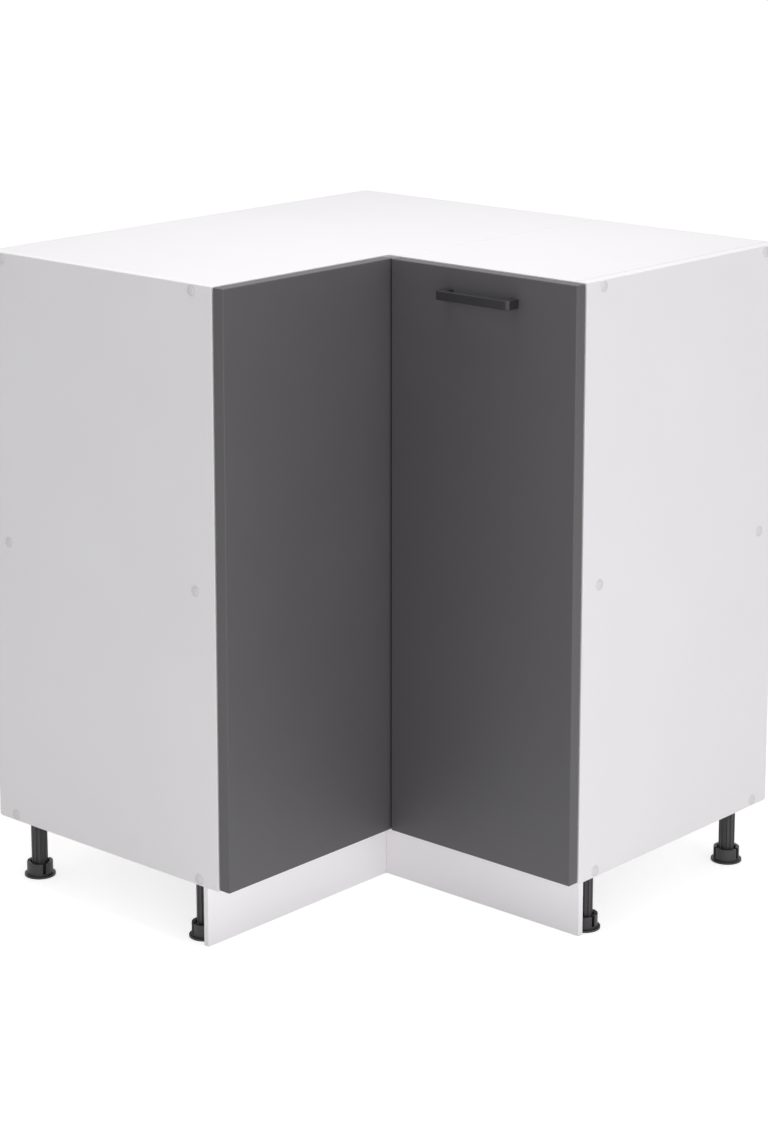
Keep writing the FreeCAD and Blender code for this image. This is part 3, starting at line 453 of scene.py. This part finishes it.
class CABINET_OT_backs(bpy.types.Operator):
    """Thin backs, white inside and bare on the rear"""
    bl_idname = "cabinet.backs"
    bl_label = "Backs"

    def execute(self, context):
        dress(back_hardboard(context.scene.cabinet_colours), "left_back_panel", "right_back_panel")
        return {"FINISHED"}


class CABINET_OT_caps(bpy.types.Operator):
    """Domed screw caps with a low rim, on both sides"""
    bl_idname = "cabinet.caps"
    bl_label = "Screw caps"

    def execute(self, context):
        material = cap_plastic(context.scene.cabinet_colours)
        rim = context.scene.cabinet_sizes.cap_rim
        for side, turn in (("left", 0), ("right", math.pi / 2)):
            node = f"{side}_cover_caps"
            low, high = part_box(node)
            proud = min(high - low)
            radius = cap_radius(nodes[node])
            shape = bmesh.new()
            for place in cap_places(nodes[node]):
                add_cap(shape, place, turn, radius, proud, rim)
            for face in shape.faces:
                face.smooth = True
            piece("domed_" + node, shape, [material], "carcass", "white_cap", node)
        return {"FINISHED"}


def islands(node):
    """The separate solids of a node, each as its lowest and highest corner."""
    copy = bmesh.new()
    copy.from_mesh(node.data)
    bmesh.ops.remove_doubles(copy, verts=copy.verts, dist=SAME)
    left = set(copy.verts)
    found = []
    for start in copy.verts:
        if start not in left:
            continue
        left.remove(start)
        group, waiting = [start], [start]
        while waiting:
            here = waiting.pop()
            for link in here.link_edges:
                other = link.other_vert(here)
                if other in left:
                    left.remove(other)
                    group.append(other)
                    waiting.append(other)
        low = Vector([min(vert.co[axis] for vert in group) for axis in range(3)])
        high = Vector([max(vert.co[axis] for vert in group) for axis in range(3)])
        found.append((low, high))
    copy.free()
    return found


def cap_radius(node):
    """Half of the first cap's height: all caps of a node are alike."""
    low, high = islands(node)[0]
    return (high.z - low.z) / 2


def cap_places(node):
    """Where each cap's middle touches its panel: the inner face of each solid's box."""
    places = []
    for low, high in islands(node):
        middle = (low + high) / 2
        if high.y - low.y < high.x - low.x:
            places.append(Vector((middle.x, high.y, middle.z)))
        else:
            places.append(Vector((low.x, middle.y, middle.z)))
    return places


def add_cap(shape, place, turn, radius, proud, rim):
    """Spin a cap's section about the axis through its middle, facing -Y before its turn."""
    # Shares of the radius and of the height: the dome, a groove round it, the low rim and the flat side
    inner = 1 - 2 * rim / radius
    section = [(0, 1.0), (inner / 2, 0.97), (inner - 0.05, 0.82), (inner, 0.3), (inner + 0.06, 0.22),
               (1 - rim / radius, 0.6), (0.96, 0.58), (1.0, 0.35), (1.0, 0.0), (0, 0.0)]
    verts = [shape.verts.new((share * radius, -height * proud, 0)) for share, height in section]
    edges = [shape.edges.new(pair) for pair in zip(verts, verts[1:])]
    before = set(shape.verts) - set(verts)
    bmesh.ops.spin(shape, geom=verts + edges, cent=(0, 0, 0), axis=(0, 1, 0), angle=math.tau,
                   steps=CAP_STEPS, use_merge=True)
    made = [vert for vert in shape.verts if vert not in before]
    bmesh.ops.remove_doubles(shape, verts=made, dist=SAME)
    made = [vert for vert in shape.verts if vert not in before]
    bmesh.ops.transform(shape, matrix=Matrix.Translation(place) @ Matrix.Rotation(turn, 4, "Z"), verts=made)
    faces = list({face for vert in made for face in vert.link_faces})
    bmesh.ops.recalc_face_normals(shape, faces=faces)


class CABINET_OT_leaves(bpy.types.Operator):
    """Grey door leaves and the buffers behind the right one"""
    bl_idname = "cabinet.leaves"
    bl_label = "Door leaves"

    def execute(self, context):
        colours = context.scene.cabinet_colours
        dress(leaf_laminate(colours), "left_leaf", "right_leaf")
        dress(buffer_rubber(colours), "door_buffers")
        return {"FINISHED"}


class CABINET_OT_handle(bpy.types.Operator):
    """Black bow handle with rounded corners"""
    bl_idname = "cabinet.handle"
    bl_label = "Handle"

    def execute(self, context):
        sizes = context.scene.cabinet_sizes
        low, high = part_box("handle")
        leg, bar = sizes.handle_leg, sizes.handle_bar
        corners = [(low.x, high.y), (low.x, low.y), (high.x, low.y), (high.x, high.y),
                   (high.x - leg, high.y), (high.x - leg, low.y + bar), (low.x + leg, low.y + bar),
                   (low.x + leg, high.y)]
        shape = outline_block(corners, low.z, high.z)
        upright = [edge for edge in shape.edges if is_upright(edge)]
        front = [edge for edge in upright if edge.verts[0].co.y < low.y + bar / 2]
        ease(shape, front, sizes.handle_corner, segments=6)
        # The finger side's corners have a third of the front corners' radius
        inner = [edge for edge in shape.edges
                 if is_upright(edge) and abs(edge.verts[0].co.y - low.y - bar) < SAME]
        ease(shape, inner, sizes.handle_corner / 3, segments=4)
        # The edges round the feet of the legs stay sharp against the leaf
        rims = [edge for edge in shape.edges if edge.calc_face_angle(0) > HANDLE_RIM_ANGLE]
        rims = [edge for edge in rims if min(vert.co.y for vert in edge.verts) < high.y - SAME]
        ease(shape, rims, sizes.handle_ease, segments=3)
        for face in shape.faces:
            face.smooth = True
        made = piece("bow_handle", shape, [handle_paint(context.scene.cabinet_colours)], "right_leaf",
                     "black_metal", "handle")
        made.data.set_sharp_from_angle(angle=HANDLE_SHARP_ANGLE)
        made.modifiers.new("Flat faces", "WEIGHTED_NORMAL").keep_sharp = True
        return {"FINISHED"}


def is_upright(edge):
    """Whether an edge stands straight up."""
    first, second = edge.verts
    return (first.co - second.co).xy.length < SAME


class CABINET_OT_legs(bpy.types.Operator):
    """Black legs and feet, and the plinth's clip and blocks"""
    bl_idname = "cabinet.legs"
    bl_label = "Legs"

    def execute(self, context):
        plastic = leg_plastic(context.scene.cabinet_colours)
        dress(plastic, *[name for name in nodes if name.startswith("leg_")], "plinth_clip", "plinth_blocks")
        return {"FINISHED"}


class CABINET_OT_hinges(bpy.types.Operator):
    """Nickel-plated hinges on the left side and between the leaves"""
    bl_idname = "cabinet.hinges"
    bl_label = "Hinges"

    def execute(self, context):
        nickel = plated_steel("nickel_plated_steel", context.scene.cabinet_colours.nickel, 0.22, 0.36)
        dress(nickel, "hinge_plates", "hinge_arms", "hinge_arm_pins", "hinge_levers", "fold_hinge_arms",
              "fold_hinge_pins", "fold_hinge_levers", "left_leaf_cups", "right_leaf_cups",
              "left_leaf_cup_pins", "right_leaf_cup_pins")
        return {"FINISHED"}


class CABINET_OT_fasteners(bpy.types.Operator):
    """Zinc-plated screws and nails, and beech dowels"""
    bl_idname = "cabinet.fasteners"
    bl_label = "Fasteners"

    def execute(self, context):
        colours = context.scene.cabinet_colours
        zinc = plated_steel("zinc_plated_steel", colours.zinc, 0.3, 0.45)
        dress(zinc, *[name for name in nodes if name.endswith(("_screws", "_nails"))])
        dress(dowel_beech(colours), "seam_dowels")
        return {"FINISHED"}


class CABINET_OT_stage(bpy.types.Operator):
    """White studio: floor, soft lamps, sky and camera"""
    bl_idname = "cabinet.stage"
    bl_label = "Studio"

    def execute(self, context):
        studio = context.scene.cabinet_studio
        floor(context.scene.cabinet_colours.floor, studio.glow)
        for name, (place, width, aim) in LAMPS.items():
            lamp(f"{name}_lamp", place, width, getattr(studio, name), aim)
        sky(context.scene, studio.sky)
        camera(context.scene, studio)
        context.scene.view_settings.view_transform = "Standard"
        return {"FINISHED"}


def seen(tree):
    """1 for what the camera sees, also in a reflection or through glass."""
    path = add(tree, "ShaderNodeLightPath").outputs
    direct = add(tree, "ShaderNodeMath", {0: path["Is Camera Ray"], 1: path["Is Glossy Ray"]},
                 operation="MAXIMUM")
    return add(tree, "ShaderNodeMath", {0: direct, 1: path["Is Transmission Ray"]}, operation="MAXIMUM")


def floor(colour, strength):
    """A pale painted floor that looks white and keeps the shadow."""
    shape = bmesh.new()
    bmesh.ops.create_grid(shape, x_segments=1, y_segments=1, size=FLOOR_HALF)
    mesh = bpy.data.meshes.new("floor")
    shape.to_mesh(mesh)
    shape.free()
    material, tree, place = new_material("floor_paint_white")
    speck = add(tree, "ShaderNodeTexNoise", {"Vector": place, "Scale": per_mm(400), "Detail": 2})
    pale = add(tree, "ShaderNodeMix", {"Factor": speck, "A": tone(colour, 0.99), "B": tone(colour, 1.01)},
               data_type="RGBA")
    paint = add(tree, "ShaderNodeBsdfDiffuse", {"Color": pale})
    glow = add(tree, "ShaderNodeEmission", {"Strength": seen(tree), "Color": (strength,) * 3 + (1,)})
    both = add(tree, "ShaderNodeAddShader", {0: paint, 1: glow})
    add(tree, "ShaderNodeOutputMaterial", {"Surface": both})
    mesh.materials.append(material)
    made = bpy.data.objects.new("floor", mesh)
    bpy.context.scene.collection.objects.link(made)


def lamp(name, place, width, power, aim):
    """A large square lamp that faces a point and isn't seen itself."""
    data = bpy.data.lights.new(name, "AREA")
    data.size = width
    data.energy = power
    made = bpy.data.objects.new(name, data)
    made.location = place
    made.rotation_euler = (Vector(aim) - Vector(place)).to_track_quat("-Z", "Y").to_euler()
    made.visible_camera = False
    bpy.context.scene.collection.objects.link(made)


def sky(scene, strength):
    """Even light from all round, white where it is seen."""
    world = bpy.data.worlds.new("studio_sky")
    world.use_nodes = True
    tree = world.node_tree
    tree.nodes.clear()
    level = add(tree, "ShaderNodeMix", {"Factor": seen(tree), "A": strength, "B": 1.0})
    light = add(tree, "ShaderNodeBackground", {"Color": (1, 1, 1, 1), "Strength": level})
    add(tree, "ShaderNodeOutputWorld", {"Surface": light})
    scene.world = world


def camera(scene, studio):
    """A camera at the photograph's viewing angle, with its focal length given in the photograph's pixels."""
    data = bpy.data.cameras.new("camera")
    data.sensor_width = SENSOR_WIDTH
    data.lens = studio.focus * data.sensor_width / max(IMAGE_WIDTH, IMAGE_HEIGHT)
    data.shift_y = studio.lift
    data.clip_end = CAMERA_REACH
    made = bpy.data.objects.new("camera", data)
    made.location = studio.place
    made.rotation_euler = (math.pi / 2 - studio.tilt, 0, studio.turn)
    scene.collection.objects.link(made)
    scene.camera = made


OPERATORS = (
    CABINET_OT_boards, CABINET_OT_backs, CABINET_OT_caps, CABINET_OT_leaves, CABINET_OT_handle,
    CABINET_OT_legs, CABINET_OT_hinges, CABINET_OT_fasteners, CABINET_OT_stage)


class CABINET_PT_panel(bpy.types.Panel):
    """Sidebar with the cabinet's steps"""
    bl_idname = "CABINET_PT_panel"
    bl_label = "Corner Base Cabinet"
    bl_space_type = "VIEW_3D"
    bl_region_type = "UI"
    bl_category = "Cabinet"

    def draw(self, context):
        for operator in OPERATORS:
            self.layout.operator(operator.bl_idname)


GROUPS = {
    "cabinet_colours": CabinetColours,
    "cabinet_sizes": CabinetSizes,
    "cabinet_studio": CabinetStudio,
}


def register():
    for made in (*GROUPS.values(), *OPERATORS, CABINET_PT_panel):
        bpy.utils.register_class(made)
    for name, group in GROUPS.items():
        setattr(bpy.types.Scene, name, bpy.props.PointerProperty(type=group))


def unregister():
    for name in GROUPS:
        delattr(bpy.types.Scene, name)
    for made in (CABINET_PT_panel, *reversed(OPERATORS), *GROUPS.values()):
        bpy.utils.unregister_class(made)


def main():
    register()
    bpy.ops.cabinet.boards()
    bpy.ops.cabinet.backs()
    bpy.ops.cabinet.caps()
    bpy.ops.cabinet.leaves()
    bpy.ops.cabinet.handle()
    bpy.ops.cabinet.legs()
    bpy.ops.cabinet.hinges()
    bpy.ops.cabinet.fasteners()
    bpy.ops.cabinet.stage()


if __name__ == "__main__":
    main()
